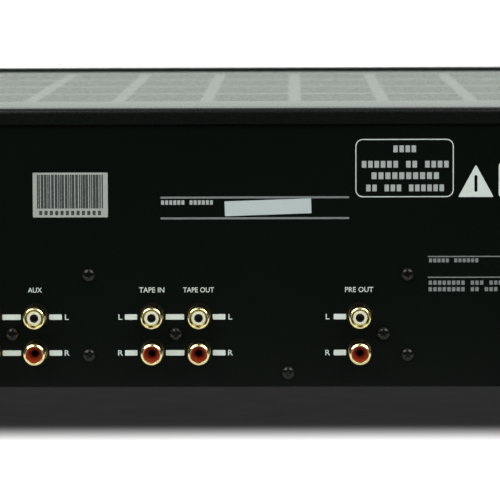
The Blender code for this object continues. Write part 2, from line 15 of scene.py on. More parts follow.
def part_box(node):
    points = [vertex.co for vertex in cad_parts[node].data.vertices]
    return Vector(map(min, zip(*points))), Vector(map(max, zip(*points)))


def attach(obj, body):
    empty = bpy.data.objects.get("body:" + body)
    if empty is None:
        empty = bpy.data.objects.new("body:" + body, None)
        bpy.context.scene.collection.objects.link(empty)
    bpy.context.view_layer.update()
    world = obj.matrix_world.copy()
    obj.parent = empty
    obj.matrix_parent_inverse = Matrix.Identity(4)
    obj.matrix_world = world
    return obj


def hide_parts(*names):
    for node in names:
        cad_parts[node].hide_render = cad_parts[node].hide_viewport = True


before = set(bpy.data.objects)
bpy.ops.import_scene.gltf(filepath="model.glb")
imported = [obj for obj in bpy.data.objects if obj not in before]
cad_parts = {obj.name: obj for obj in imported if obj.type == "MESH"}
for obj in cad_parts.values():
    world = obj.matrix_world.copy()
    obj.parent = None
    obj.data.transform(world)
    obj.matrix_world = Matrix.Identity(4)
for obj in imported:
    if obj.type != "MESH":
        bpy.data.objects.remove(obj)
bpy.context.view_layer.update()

MM = 0.001

# Places that the frame gives
COVER_LOW, COVER_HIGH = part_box("top_cover")
PANEL_LOW, PANEL_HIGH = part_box("rear_panel")
FASCIA_LOW, FASCIA_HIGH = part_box("front_fascia")
PLATE_LOW, PLATE_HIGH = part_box("speaker_terminal_plate")
REAR = PANEL_HIGH.y
BASE = PANEL_LOW.z  # underside of the case
FACE = FASCIA_LOW.y  # front of the fascia

# Cover
SHEET = 1.2 * MM
BEND = 2.6 * MM
VENT_FIELDS = 12
VENT_PITCH = 34.9 * MM
VENT_RIB = 4.6 * MM
VENT_GROUPS = 4  # of rows, with the place of one row left plain between them
VENT_ROWS = 7
VENT_SLOT = 2.0 * MM
VENT_FRONT_BORDER = 36 * MM
VENT_REAR_BORDER = 44 * MM
LIP_HEIGHT = 6.6 * MM
ROOF_CROWN = 0.2 * MM

# Phono sockets, measured from the edges of each block of shells
JACK_EDGE = 8.8 * MM
JACK_PITCH = 18 * MM
JACK_ROW_EDGE = 6.5 * MM
JACK_BLOCKS = {"line": 4, "tape": 2, "pre_out": 1}  # columns of each block

# Colour, the dark material that paints the shade in the hole, and in millimetres: radius, hole, recess,
# dish, depth of the hole, rounding of the rim
INSULATORS = (
    ("white", "painted_hole_shade", 2.85, 1.65, 0.4, 0, 3.5, 0.6),
    ("red", "well_black", 3.15, 1.35, 0.5, 4.5, 9, 0.3),
)

TERMINALS = ("left_plus", "left_minus", "right_minus", "right_plus")
# Where each knob points and its scale ends, in degrees clockwise from the top, and its number of ticks
KNOBS = {"volume": (-150, 150, 11), "selector": (-15, 45, 4), "treble": (0, 150, 11), "bass": (0, 150, 11)}
BUTTONS = ("power", "speaker", "tape", "tone")

PRINT_DEPTH = 0.03 * MM
GAP = 0.3 * MM  # between parts that touch
SHARP = math.radians(35)  # edges that turn more than this stay sharp

TO_REAR = Matrix(((-1, 0, 0), (0, 0, 1), (0, 1, 0))).to_4x4()
TO_FRONT = Matrix(((1, 0, 0), (0, 0, -1), (0, 1, 0))).to_4x4()

# Studio, in the light that the object sees
DARK_SIDE = 0.02
BRIGHT_SIDE = 1.15
FLOOR_SHADE = (-12 * MM, 64 * MM)  # from shadow to white, outwards from the edge of the case
FLOOR_SHADOW = 0.022
FLOOR_MIRRORED = (0.24, 0.42)  # where its reflection fades out behind the rear panel
FLOOR_LIFT = 0.14  # extra light that it throws up at the sockets

NOISE_SPAN = (0.3, 0.7)  # the part of a noise pattern that is used
MATERIALS = {}


# Materials


def node(tree, kind, inputs, output=0, **settings):
    """Adds a shader node and returns one of its outputs. An input is a plain value or another output."""
    made = tree.nodes.new(f"ShaderNode{kind}")
    for key, value in settings.items():
        setattr(made, key, value)
    for key, value in inputs.items():
        if isinstance(value, bpy.types.NodeSocket):
            tree.links.new(value, made.inputs[key])
        else:
            made.inputs[key].default_value = value
    return made.outputs[output]


def noise(tree, scale, stretch=(1, 1, 1)):
    """A noise pattern in the object's own metres."""
    place = node(tree, "TexCoord", {}, "Object")
    stretched = node(tree, "Mapping", {"Vector": place, "Scale": stretch})
    return node(tree, "TexNoise", {"Vector": stretched, "Scale": scale, "Detail": 2.0}, "Fac")


def combine(tree, operation, first, second):
    return node(tree, "Math", {0: first, 1: second}, operation=operation)


def blend(tree, factor, first, second, clamp=True):
    """A mix of two colours."""
    inputs = {"Factor": factor, "A": first, "B": second}
    return node(tree, "Mix", inputs, "Result", data_type="RGBA", clamp_factor=clamp)


def remap(tree, value, start, end, low, high, how="LINEAR"):
    """A change from low to high as the value goes from start to end."""
    ends = {"From Min": start, "From Max": end, "To Min": low, "To Max": high}
    return node(tree, "MapRange", {"Value": value, **ends}, interpolation_type=how)


def surface(
    name, colour, roughness, metallic=0.0, grain=900, stretch=(1, 1, 1), bump=0.0, vary=0.12,
    rough_vary=0.06, patch=25, **inputs
):
    """A Principled material. Its colour drifts over a patch, and a fine grain roughens it."""
    made = bpy.data.materials.new(name)
    made.use_nodes = True
    tree = made.node_tree
    shader = tree.nodes["Principled BSDF"]
    for key, value in {"Metallic": metallic, **inputs}.items():
        shader.inputs[key.replace("_", " ")].default_value = value

    darker = (*[c * (1 - vary) for c in colour], 1)
    lighter = (*[min(c * (1 + vary), 1) for c in colour], 1)
    drift = remap(tree, noise(tree, patch), *NOISE_SPAN, 0, 1)
    tree.links.new(blend(tree, drift, darker, lighter), shader.inputs["Base Color"])

    fine = noise(tree, grain, stretch)
    rough = remap(tree, fine, *NOISE_SPAN, roughness - rough_vary, roughness + rough_vary)
    tree.links.new(rough, shader.inputs["Roughness"])
    if bump:
        relief = node(tree, "Bump", {"Strength": 1, "Distance": bump, "Height": fine}, "Normal")
        tree.links.new(relief, shader.inputs["Normal"])
    MATERIALS[name] = made
    return made


def make_materials():
    coat = (0.0023, 0.0037, 0.0027)
    surface("powder_coat", coat, 0.3, grain=1500, bump=0.004 * MM, patch=8, IOR=1.145)
    surface("cover_coat", (0.0016, 0.003, 0.002), 0.27, rough_vary=0.02, patch=8, IOR=1.39)
    brushed = {"grain": 700, "stretch": (0.02, 1, 1), "bump": 0.01 * MM}
    surface("anodised", (0.005, 0.0095, 0.0072), 0.34, IOR=1.25, **brushed)
    surface("knob_metal", (0.02, 0.02, 0.021), 0.3, 0.5, bump=0.004 * MM)
    surface("button_metal", (0.03, 0.03, 0.031), 0.3, 0.5, stretch=(0.05, 1, 1), bump=0.004 * MM)
    surface("moulding", (0.008, 0.008, 0.008), 0.45, grain=1200, bump=0.02 * MM, IOR=1.35)
    # The black moulding of the socket housings; the same near-black also paints the shade deep in the holes
    # of the red sockets.
    surface("well_black", (0.003, 0.003, 0.003), 0.6, grain=1200, IOR=1.2)
    # Painted shade: a near-black lining for the holes of the white sockets, in place of bare metal.
    surface("painted_hole_shade", (0.013, 0.013, 0.017), 0.5, grain=1200)
    surface("screw_black", (0.003, 0.004, 0.003), 0.2, grain=1500, bump=0.004 * MM, IOR=1.36)
    surface("rubber", (0.018, 0.018, 0.018), 0.75, grain=700, bump=0.03 * MM)
    surface("gold", (0.84, 0.73, 0.36), 0.17, 1.0, grain=500, vary=0.05, bump=0.002 * MM)
    # A darker copy of the gold: painted shade on the recessed seats of the white sockets.
    surface("gold_painted_shade", (0.2, 0.18, 0.07), 0.24, 1.0, grain=500, vary=0.05)
    surface("insulator_white", (0.66, 0.65, 0.47), 0.4, grain=600, vary=0.04)
    surface("insulator_red", (0.34, 0.04, 0.012), 0.4, grain=600, vary=0.08, IOR=1.35)
    surface("cap_red", (0.42, 0.012, 0.012), 0.28, grain=700, vary=0.08, Coat_Weight=0.3)
    surface("cap_black", (0.012, 0.012, 0.013), 0.28, grain=700, Coat_Weight=0.3)
    surface("print_white", (0.55, 0.62, 0.575), 0.6, grain=2500, vary=0.03)
    surface("print_pale", (0.33, 0.365, 0.355), 0.6, grain=2500, vary=0.03)
    surface("print_grey", (0.16, 0.18, 0.175), 0.6, grain=2500, vary=0.05)
    surface("label_paper", (0.42, 0.49, 0.485), 0.5, vary=0.04)
    surface("grey_paper", (0.345, 0.37, 0.335), 0.5, vary=0.06)
    surface("bar_ink", (0.03, 0.037, 0.036), 0.5, grain=2500)
    surface("zinc", (0.56, 0.56, 0.54), 0.32, 1.0, grain=500, vary=0.1, bump=0.004 * MM)
    surface("nickel", (0.62, 0.60, 0.56), 0.25, 1.0, grain=500, vary=0.05)
    surface("sink", (0.02, 0.02, 0.02), 0.42, 0.4, grain=500, stretch=(1, 1, 0.03), bump=0.008 * MM)
    surface("board", (0.02, 0.09, 0.035), 0.35, grain=220, vary=0.35, patch=160, bump=0.01 * MM)
    surface("winding", (0.33, 0.17, 0.03), 0.3, 0.2, grain=350, vary=0.3, patch=120, Coat_Weight=0.6)
    surface("sleeve", (0.015, 0.022, 0.06), 0.3, grain=400, vary=0.1)
    surface("resistor", (0.45, 0.33, 0.2), 0.5, vary=0.3, patch=90)
    glow = {"Emission_Strength": 0.6, "Emission_Color": (0.05, 0.8, 0.2, 1)}
    surface("lamp", (0.05, 0.45, 0.12), 0.15, grain=400, vary=0.05, **glow)
    floor_surface()


def floor_surface():
    """A white sweep with a soft shade under the object, dark in what the rear panel mirrors."""
    made = surface("floor", (0.86, 0.86, 0.86), 0.6, grain=60, vary=0.01, rough_vary=0.03, patch=2)
    tree = made.node_tree
    shader = tree.nodes["Principled BSDF"]
    place = node(tree, "TexCoord", {}, "Object")
    across, along = [node(tree, "SeparateXYZ", {"Vector": place}, axis) for axis in "XY"]
    seen = node(tree, "LightPath", {}, "Is Camera Ray")
    plus, minus, times = [partial(combine, tree, kind) for kind in ("ADD", "SUBTRACT", "MULTIPLY")]

    beyond = []
    for reach, half in ((across, COVER_HIGH.x), (along, REAR)):
        beyond.append(minus(combine(tree, "ABSOLUTE", reach, 0), half))
    outside = combine(tree, "MAXIMUM", *beyond)
    clear = remap(tree, outside, *FLOOR_SHADE, 0, 1, "SMOOTHSTEP")
    mirrored = remap(tree, along, *FLOOR_MIRRORED, 1, 0.05, "SMOOTHSTEP")
    mirrored = times(mirrored, minus(1, seen))

    glow = times(plus(clear, FLOOR_SHADOW), seen)
    lift = times(times(clear, mirrored), FLOOR_LIFT)
    tree.links.new(plus(glow, lift), shader.inputs["Emission Strength"])
    shader.inputs["Emission Color"].default_value = (1, 1, 1, 1)

    kept = plus(times(clear, seen), mirrored)
    colour = shader.inputs["Base Color"].links[0].from_socket
    tree.links.new(blend(tree, kept, (0, 0, 0, 1), colour), shader.inputs["Base Color"])


# Meshes


def spot(facing, at, radius, angle, height):
    """A point at a radius and angle round an axis. at is (x, z), or (x, y) for an upright axis."""
    a, b = radius * math.cos(angle), radius * math.sin(angle)
    if facing == "up":
        return (at[0] + a, at[1] + b, height)
    return (at[0] + a, height if facing == "rear" else -height, at[1] + b)


def lathe(mesh, profile, at, facing, segments=48, flutes=0, depth=0.0, fluted_beyond=0.0):
    """Turns (radius, height) points. A profile that starts off the axis closes into a ring."""
    rings = []
    for radius, height in profile:
        if radius == 0:
            rings.append([mesh.verts.new(spot(facing, at, 0, 0, height))] * segments)
            continue
        cut = depth if radius > fluted_beyond else 0
        ring = []
        for n in range(segments):
            angle = 2 * math.pi * n / segments
            reach = radius * (1 - cut * (0.5 + 0.5 * math.cos(flutes * angle)))
            ring.append(mesh.verts.new(spot(facing, at, reach, angle, height)))
        rings.append(ring)
    if profile[0][0] > 0:
        rings.append(rings[0])
    for low, high in zip(rings, rings[1:]):
        for n in range(segments):
            after = (n + 1) % segments
            corners = list(dict.fromkeys([low[n], low[after], high[after], high[n]]))
            if len(corners) > 2:
                mesh.faces.new(corners)
    return mesh


def arc(centre, radius, start, end, steps=4):
    """Points of a profile round (radius, height), between two angles in degrees."""
    angles = [math.radians(start + (end - start) * n / steps) for n in range(steps + 1)]
    return [(centre[0] + radius * math.cos(a), centre[1] + radius * math.sin(a)) for a in angles]


def points(start, *pairs):
    """(radius, height) points in metres, from pairs in millimetres that count from a start height."""
    return [(radius * MM, start + height * MM) for radius, height in pairs]


def rounded_rectangle(centre, half, radius, steps=5):
    outline = []
    for n, (sx, sy) in enumerate(((1, 1), (-1, 1), (-1, -1), (1, -1))):
        corner = (centre[0] + sx * (half[0] - radius), centre[1] + sy * (half[1] - radius))
        outline += arc(corner, radius, 90 * n, 90 * n + 90, steps)
    return outline


def circle(centre, radius, segments=40):
    return arc(centre, radius, 0, 360 * (1 - 1 / segments), segments - 1)


def filled(outlines, low, high, edge=0.0):
    """A flat plate in local x and y, between two local heights. An outline inside another is a hole."""
    curve = bpy.data.curves.new("outline", "CURVE")
    curve.dimensions = "2D"
    curve.fill_mode = "BOTH"
    curve.extrude = (high - low) / 2 - edge
    curve.bevel_depth = edge
    curve.offset = -edge
    curve.bevel_resolution = 2
    for outline in outlines:
        spline = curve.splines.new("POLY")
        spline.points.add(len(outline) - 1)
        for point, (x, y) in zip(spline.points, outline):
            point.co = (x, y, 0, 1)
        spline.use_cyclic_u = True
    return from_curve(curve, (low + high) / 2)


def from_curve(curve, height):
    holder = bpy.data.objects.new("outline", curve)
    made = bpy.data.meshes.new_from_object(holder)
    made.transform(Matrix.Translation((0, 0, height)))
    bpy.data.objects.remove(holder)
    bpy.data.curves.remove(curve)
    mesh = bmesh.new()
    mesh.from_mesh(made)
    bpy.data.meshes.remove(made)
    bmesh.ops.remove_doubles(mesh, verts=mesh.verts, dist=1e-7)
    return mesh


def merge(into, mesh, matrix=Matrix.Identity(4)):
    """Adds a mesh, moved by a matrix, to another."""
    mesh.transform(matrix)
    carrier = bpy.data.meshes.new("carrier")
    mesh.to_mesh(carrier)
    mesh.free()
    into.from_mesh(carrier)
    bpy.data.meshes.remove(carrier)
    return into


def rounded_box(mesh, low, high, radius, segments=3):
    """A box between two corners with all its edges rounded."""
    made = bmesh.new()
    bmesh.ops.create_cube(made, size=1)
    for vertex in made.verts:
        for axis in range(3):
            vertex.co[axis] = high[axis] if vertex.co[axis] > 0 else low[axis]
    rounding = {"offset": radius, "segments": segments, "profile": 0.5, "affect": "EDGES"}
    bmesh.ops.bevel(made, geom=made.edges[:], **rounding)
    return merge(mesh, made)


def centre_of(name, axes="xz"):
    """The middle of a CAD node's box along two axes."""
    low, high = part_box(name)
    return tuple((getattr(low, axis) + getattr(high, axis)) / 2 for axis in axes)


def outline_of(name, radius, grow=0.0, steps=5, sign=1):
    """A rounded rectangle as large as a CAD node. sign is -1 for the rear, which is seen from behind."""
    low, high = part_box(name)
    x, z = centre_of(name)
    half = ((high.x - low.x) / 2 + grow, (high.z - low.z) / 2 + grow)
    return rounded_rectangle((sign * x, z), half, radius, steps)


def add_object(name, data):
    made = bpy.data.objects.new(name, data)
    bpy.context.scene.collection.objects.link(made)
    return made


def mesh_object(name, mesh):
    data = bpy.data.meshes.new(name)
    mesh.to_mesh(data)
    mesh.free()
    return add_object(name, data)


def piece(name, mesh, material, body="root", replaces=()):
    """Finishes a mesh as a named piece that rides on a body and stands in for CAD nodes."""
    bmesh.ops.recalc_face_normals(mesh, faces=mesh.faces)
    made = mesh_object(name, mesh)
    made.data.materials.append(MATERIALS[material])
    made.data.shade_smooth()
    made.data.set_sharp_from_angle(angle=SHARP)
    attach(made, body)
    if replaces:
        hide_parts(*replaces)
    return made


def turned(name, profile, at, facing, segments, material, body="root", replaces=()):
    """A piece turned round one axis."""
    mesh = lathe(bmesh.new(), profile, at, facing, segments)
    piece(name, mesh, material, body, replaces)


# Casing


def vent_tile(mesh, x, y, z):
    """One cell of the roof with a round-ended slot in it."""
    radius = VENT_SLOT / 2
    reach = (x[1] - x[0] - VENT_RIB) / 2 - radius
    middle = ((x[0] + x[1]) / 2, (y[0] + y[1]) / 2)
    right = [mesh.verts.new((*p, z)) for p in arc((middle[0] + reach, middle[1]), radius, -90, 90, 6)]
    left = [mesh.verts.new((*p, z)) for p in arc((middle[0] - reach, middle[1]), radius, 90, 270, 6)]
    low_right, high_right, high_left, low_left = [
        mesh.verts.new((a, b, z)) for a, b in ((x[1], y[0]), (x[1], y[1]), (x[0], y[1]), (x[0], y[0]))
    ]
    for near, corner, other in (
        (right[:4], low_right, None),
        (right[3:], high_right, low_right),
        (left[:4], high_left, None),
        (left[3:], low_left, high_left),
    ):
        for a, b in zip(near, near[1:]):
            mesh.faces.new((corner, b, a))
        if other:
            mesh.faces.new((other, corner, near[0]))
    mesh.faces.new((high_right, high_left, left[0], right[-1]))
    mesh.faces.new((low_left, low_right, right[0], left[-1]))


def strip(mesh, path, along, place):
    """Quads of a path of (a, b) points swept over positions along the third axis."""
    for (a0, b0), (a1, b1) in zip(path, path[1:]):
        for t0, t1 in zip(along, along[1:]):
            corners = [place(a0, b0, t0), place(a1, b1, t0), place(a1, b1, t1), place(a0, b0, t1)]
            mesh.faces.new([mesh.verts.new(c) for c in corners])


def cover():
    """A folded sheet: slotted roof, two sides, and a lip over the rear panel."""
    front, back = COVER_LOW.y, COVER_HIGH.y
    half, top, bottom = COVER_HIGH.x, COVER_HIGH.z + ROOF_CROWN, COVER_LOW.z
    first = front + VENT_FRONT_BORDER
    rows = VENT_GROUPS * (VENT_ROWS + 1) - 1
    pitch = (REAR - VENT_REAR_BORDER - first) / rows
    x_lines = [(n - VENT_FIELDS / 2) * VENT_PITCH for n in range(VENT_FIELDS + 1)]
    x_lines = [BEND - half] + x_lines + [half - BEND]
    y_lines = [front] + [first + n * pitch for n in range(rows + 1)] + [back - BEND]

    mesh = bmesh.new()
    for i, x in enumerate(zip(x_lines, x_lines[1:])):
        for j, y in enumerate(zip(y_lines, y_lines[1:])):
            if 1 <= i <= VENT_FIELDS and 1 <= j <= rows and j % (VENT_ROWS + 1):
                vent_tile(mesh, x, y, top)
            else:
                corners = [(x[0], y[0]), (x[1], y[0]), (x[1], y[1]), (x[0], y[1])]
                mesh.faces.new([mesh.verts.new((a, b, top)) for a, b in corners])
    side = arc((half - BEND, top - BEND), BEND, 90, 0, 6)
    for sign in (-1, 1):
        path = [(sign * a, b) for a, b in side] + [(sign * half, bottom)]
        strip(mesh, path, y_lines, lambda a, b, t: (a, t, b))
        strip(mesh, path[-2:], (back - BEND, back), lambda a, b, t: (a, t, b))
    lip = arc((back - BEND, top - BEND), BEND, 90, 0, 6) + [(back, top - LIP_HEIGHT)]
    strip(mesh, lip, x_lines, lambda a, b, t: (t, a, b))
    bmesh.ops.remove_doubles(mesh, verts=mesh.verts, dist=0.01 * MM)

    made = piece("cover_shell", mesh, "cover_coat", replaces=["top_cover"])
    uses = Counter(loop.edge_index for loop in made.data.loops)
    for edge in made.data.edges:
        edge.use_edge_sharp = edge.use_edge_sharp or uses[edge.index] == 1
    skin = made.modifiers.new("thickness", "SOLIDIFY")
    skin.thickness = SHEET
    skin.offset = -1


def jack_places(block):
    """(x, z) of each socket of a block, top row first in each column."""
    low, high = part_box(f"{block}_jack_shells")
    columns = [high.x - JACK_EDGE - n * JACK_PITCH for n in range(JACK_BLOCKS[block])]
    return [(x, z) for x in columns for z in (high.z - JACK_ROW_EDGE, low.z + JACK_ROW_EDGE)]


JACKS = {block: jack_places(block) for block in JACK_BLOCKS}
JACK_TOP = JACKS["line"][0][1]
JACK_BOTTOM = JACKS["line"][1][1]
JACK_MIDDLE = (JACK_TOP + JACK_BOTTOM) / 2
JACK_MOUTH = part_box("line_jack_shells")[1].y


def rear_panel():
    """The sheet with its openings, and the bend along its lower edge."""
    bend = 1.4 * MM
    low, high = BASE + bend, PANEL_HIGH.z
    outlines = [rounded_rectangle((0, (low + high) / 2), (PANEL_HIGH.x, (high - low) / 2), 0.5 * MM, 2)]
    outlines += [circle((-x, z), 5.2 * MM) for places in JACKS.values() for x, z in places]
    for name, inset in (("speaker_terminal_plate", 4 * MM), ("mains_inlet", 2 * MM)):
        outlines.append(outline_of(name, 1 * MM, -inset, 3, -1))
    mesh = merge(bmesh.new(), filled(outlines, REAR - SHEET, REAR), TO_REAR)
    piece("rear_panel_sheet", mesh, "powder_coat", replaces=["rear_panel"])

    outer = [(REAR, BASE + bend)] + arc((REAR - bend, BASE + bend), bend, 0, -90, 6)
    inner = arc((REAR - bend, BASE + bend), bend - SHEET, -90, 0, 3)
    loop = outer + [(REAR - 12 * MM, BASE), (REAR - 12 * MM, BASE + SHEET)] + inner
    hem = bmesh.new()
    ends = (PANEL_LOW.x, PANEL_HIGH.x)
    strip(hem, loop + loop[:1], ends, lambda a, b, t: (t, a, b))
    for x in ends:
        hem.faces.new([hem.verts.new((x, y, z)) for y, z in loop])
    bmesh.ops.remove_doubles(hem, verts=hem.verts, dist=0.001 * MM)
    piece("rear_panel_hem", hem, "powder_coat")


def feet():
    for corner in ("front_left", "front_right", "rear_left", "rear_right"):
        name = f"foot_{corner}"
        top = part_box(name)[1].z
        sole = points(0, (0, 5), (4, 5), (4, 0.4), (4.4, 0))
        sole += arc((18.6 * MM, 1.4 * MM), 1.4 * MM, -90, -5)
        sole += points(0, (20.6, 6.4), (20.1, 6.8), (20.1, 7.8), (20.9, 8.2))
        sole += arc((20.9 * MM, top - 1.1 * MM), 1.1 * MM, 0, 90)
        sole += [(0, top)]
        at = centre_of(name, "xy")
        turned(f"{name}_moulding", sole, at, "up", 72, "rubber", replaces=[name])


# Sockets on the rear


def jack_shells(block):
    """The plate of one block, with a bevelled gold barrel for each socket."""
    low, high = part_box(f"{block}_jack_shells")
    mesh = rounded_box(bmesh.new(), low, (high.x, low.y + 1 * MM, high.z), 0.2 * MM, 1)
    for at in JACKS[block]:
        lip, drop = (3.45 * MM, 0.5 * MM) if at[1] > JACK_MIDDLE else (3.2 * MM, 0.6 * MM)
        barrel = points(low.y, (3.6, 0.4), (4.15, 0.4)) + [(4.15 * MM, REAR + 0.2 * MM)]
        barrel += arc((3.87 * MM, JACK_MOUTH - drop), 0.28 * MM, 0, 60)
        barrel += arc((lip + 0.15 * MM, JACK_MOUTH - 0.15 * MM), 0.15 * MM, 60, 180, 5)
        barrel += [(lip, JACK_MOUTH - 1.3 * MM), (3.6 * MM, JACK_MOUTH - 1.3 * MM)]
        lathe(mesh, barrel, at, "rear", 56)
    piece(f"{block}_jack_barrels", mesh, "gold", replaces=[f"{block}_jack_shells"])


def jack_body(block):
    """The moulded housing, with a collar round each barrel in the holes of the sheet."""
    low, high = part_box(f"{block}_jack_housing")
    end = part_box(f"{block}_jack_shells")[0].y - GAP
    mesh = rounded_box(bmesh.new(), low, (high.x, end, high.z), 0.5 * MM, 2)
    collar = points(REAR, (4.35, -1.1), (5.15, -1.1), (5.15, 0.05), (4.95, 0.3), (4.5, 0.3), (4.35, 0.15))
    for at in JACKS[block]:
        lathe(mesh, collar, at, "rear", 56)
    piece(f"{block}_jack_body", mesh, "well_black", replaces=[f"{block}_jack_housing"])


def jack_insulators(block, row, colour, inside, sizes):
    """The insulators of one row, white above and red below, and a dark cup in each hole that paints the
    shade there.
    """
    outer, hole, recess, dish, depth, rounding = [size * MM for size in sizes]
    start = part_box(f"{block}_jack_housing")[1].y - 16 * MM
    tip = JACK_MOUTH - recess
    rim = arc((outer - rounding, tip - rounding), rounding, 0, 90, 6)
    lip = arc((hole + 0.3 * MM, tip - dish - 0.3 * MM), 0.3 * MM, 90, 180)
    tube = [(hole, start), (outer, start), *rim, *lip]
    bore = hole - 0.03 * MM
    bottom = JACK_MOUTH - depth
    # A closed dark cup in each hole paints the shade deep inside it.
    well = [(0, start + 0.4 * MM), (bore, start + 0.4 * MM), (bore, tip - dish - 0.4 * MM)]
    well += [(bore - 0.3 * MM, tip - dish - 0.8 * MM), (bore - 0.3 * MM, bottom), (0, bottom)]
    tubes, wells = bmesh.new(), bmesh.new()
    for at in JACKS[block][row::2]:
        lathe(tubes, tube, at, "rear", 48)
        lathe(wells, well, at, "rear", 24)
    piece(f"{block}_jack_insulators_{colour}", tubes, f"insulator_{colour}")
    piece(f"{block}_jack_wells_{colour}", wells, inside)


def jack_seats(block):
    """The gold seat that shows between each white insulator and its barrel, in a darker copy of the gold
    that paints the shade of the groove.
    """
    mesh = bmesh.new()
    seat = points(JACK_MOUTH, (2.9, -3), (3.52, -3), (3.52, -0.94), (2.9, -0.7))
    for at in JACKS[block][::2]:
        lathe(mesh, seat, at, "rear", 48)
    piece(f"{block}_jack_seats", mesh, "gold_painted_shade")


def phono_sockets():
    for block in JACK_BLOCKS:
        jack_shells(block)
        jack_body(block)
        jack_seats(block)
        for row, (colour, inside, *sizes) in enumerate(INSULATORS):
            jack_insulators(block, row, colour, inside, sizes)


def terminal_plate():
    outlines = [outline_of("speaker_terminal_plate", 2.5 * MM, sign=-1)]
    for name in TERMINALS:
        x, z = centre_of(f"speaker_cap_{name}")
        outlines.append(circle((-x, z), 3.1 * MM))
    mesh = merge(bmesh.new(), filled(outlines, PLATE_LOW.y, PLATE_HIGH.y, 0.5 * MM), TO_REAR)
    piece("terminal_plate_moulding", mesh, "moulding", replaces=["speaker_terminal_plate"])


def terminal(name):
    """A speaker terminal: its threaded post, the clamping collar and the fluted cap."""
    at = centre_of(f"speaker_cap_{name}")
    post, collar, cap = [f"speaker_{kind}_{name}" for kind in ("post", "collar", "cap")]

    low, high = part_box(post)
    stud = points(low.y, (0, 0), (1.7, 0), (2, 0.3))
    stud += points(PLATE_LOW.y, (2, -3.5), (4.2, -3.5), (4.2, -0.3), (2.8, -0.3))
    stud += points(PLATE_HIGH.y + GAP, (2.8, 0), (5.4, 0), (5.6, 0.2), (5.6, 2.2), (5.3, 2.5), (2, 2.5))
    stud += points(high.y, (2, -0.4), (1.6, 0), (0, 0))
    turned(f"terminal_post_{name}", stud, at, "rear", 48, "gold", replaces=[post])
    bore_end = high.y + 1 * MM

    low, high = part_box(collar)
    washer = points(low.y, (2.6, 0), (5.1, 0), (5.4, 0.3)) + points(high.y, (5.4, -0.3), (5.1, 0), (2.6, 0))
    body = f"collar_{name}"
    turned(f"terminal_collar_{name}", washer, at, "rear", 48, "gold", body, [collar])

    low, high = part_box(cap)
    shape = points(low.y, (2.5, 0), (5.5, 0), (5.8, 0.3), (5.8, 1.6), (5.4, 2), (5.4, 2.6))
    shape += points(low.y, (6.2, 3), (6.5, 3.6))
    shape += points(high.y, (6.5, -2.2), (6.2, -1.5)) + arc((4.9 * MM, high.y - 0.8 * MM), 0.8 * MM, 30, 90)
    shape += points(high.y, (2.6, 0), (2.15, -0.45)) + points(bore_end, (2.15, 0), (2.5, 0))
    mesh = lathe(bmesh.new(), shape, at, "rear", 144, flutes=24, depth=0.06, fluted_beyond=6.1 * MM)
    colour = "red" if name.endswith("plus") else "black"
    piece(f"terminal_cap_{name}", mesh, f"cap_{colour}", f"cap_{name}", [cap])


def mains_inlet():
    """The flange and the throat with its cut corners, and three pins."""
    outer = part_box("mains_inlet")[1].y
    middle, z = centre_of("mains_inlet")
    x = -middle
    corners = ((-12, -8.2), (12, -8.2), (12, 3.2), (7, 8.2), (-7, 8.2), (-12, 3.2))
    throat = [(x + a * MM, z + b * MM) for a, b in corners]
    wall = rounded_rectangle((x, z), (13.5 * MM, 9.7 * MM), 1 * MM, 2)
    flange = outline_of("mains_inlet", 2.5 * MM, sign=-1)
    mesh = bmesh.new()
    merge(mesh, filled([flange, throat], REAR + GAP, outer, 0.4 * MM), TO_REAR)
    merge(mesh, filled([wall, throat], REAR - 15 * MM, REAR + 0.2 * MM), TO_REAR)
    merge(mesh, filled([wall], REAR - 17 * MM, REAR - 15.1 * MM), TO_REAR)
    piece("mains_inlet_moulding", mesh, "moulding", replaces=["mains_inlet"])
    pins = bmesh.new()
    for dx, dz in ((-7, -1.5), (0, 2.5), (7, -1.5)):
        centre = Vector((middle + dx * MM, REAR - 9 * MM, z + dz * MM))
        size = Vector((1 * MM, 6 * MM, 2 * MM))
        rounded_box(pins, centre - size, centre + size, 0.35 * MM, 2)
    piece("mains_inlet_pins", pins, "nickel")


# Screws


def cross_recess(radius, height):
    """Two crossed bars that narrow downwards, as deep as the cross of a screw."""
    mesh = bmesh.new()
    for along in (0, 1):
        wedge = bmesh.new()
        bmesh.ops.create_cube(wedge, size=1)
        for vertex in wedge.verts:
            upper = vertex.co.z > 0
            reach = 0.62 * radius * (1 if upper else 0.45)
            for axis in (0, 1):
                size = reach if axis == along else 0.15 * radius
                vertex.co[axis] = math.copysign(size, vertex.co[axis])
            vertex.co.z = height + MM if upper else height * 0.3
        merge(mesh, wedge)
    return mesh


def screw_head(radius, height):
    """A pan head with a cross recess, looking up, on the plane of height 0."""
    edge = 0.12 * radius
    dome = [(0, -0.3 * MM), (0.9 * radius, -0.3 * MM), (0.96 * radius, 0), (radius, edge)]
    for n in range(1, 8):
        angle = math.pi / 2 * n / 8
        dome.append((radius * math.cos(angle), edge + (height - edge) * math.sin(angle)))
    dome.append((0, height))
    head = lathe(bmesh.new(), dome, (0, 0), "up", 48)
    objects = []
    for name, mesh in (("screw_head", head), ("screw_recess", cross_recess(radius, height))):
        bmesh.ops.recalc_face_normals(mesh, faces=mesh.faces)
        objects.append(mesh_object(name, mesh))
    solid, recess = objects
    cutting = solid.modifiers.new("cross", "BOOLEAN")
    cutting.operation = "DIFFERENCE"
    cutting.use_self = True
    cutting.object = recess
    evaluated = solid.evaluated_get(bpy.context.evaluated_depsgraph_get())
    result = bpy.data.meshes.new_from_object(evaluated)
    for made in objects:
        bpy.data.objects.remove(made)
    return result


def screws(name, head, places, facing):
    """Copies of a head at (point, turn in degrees), facing the way of a matrix."""
    mesh = bmesh.new()
    for point, turn in places:
        copy = bmesh.new()
        copy.from_mesh(head)
        spin = Matrix.Rotation(math.radians(turn), 4, "Z")
        merge(mesh, copy, Matrix.Translation(point) @ facing @ spin)
    piece(name, mesh, "screw_black")


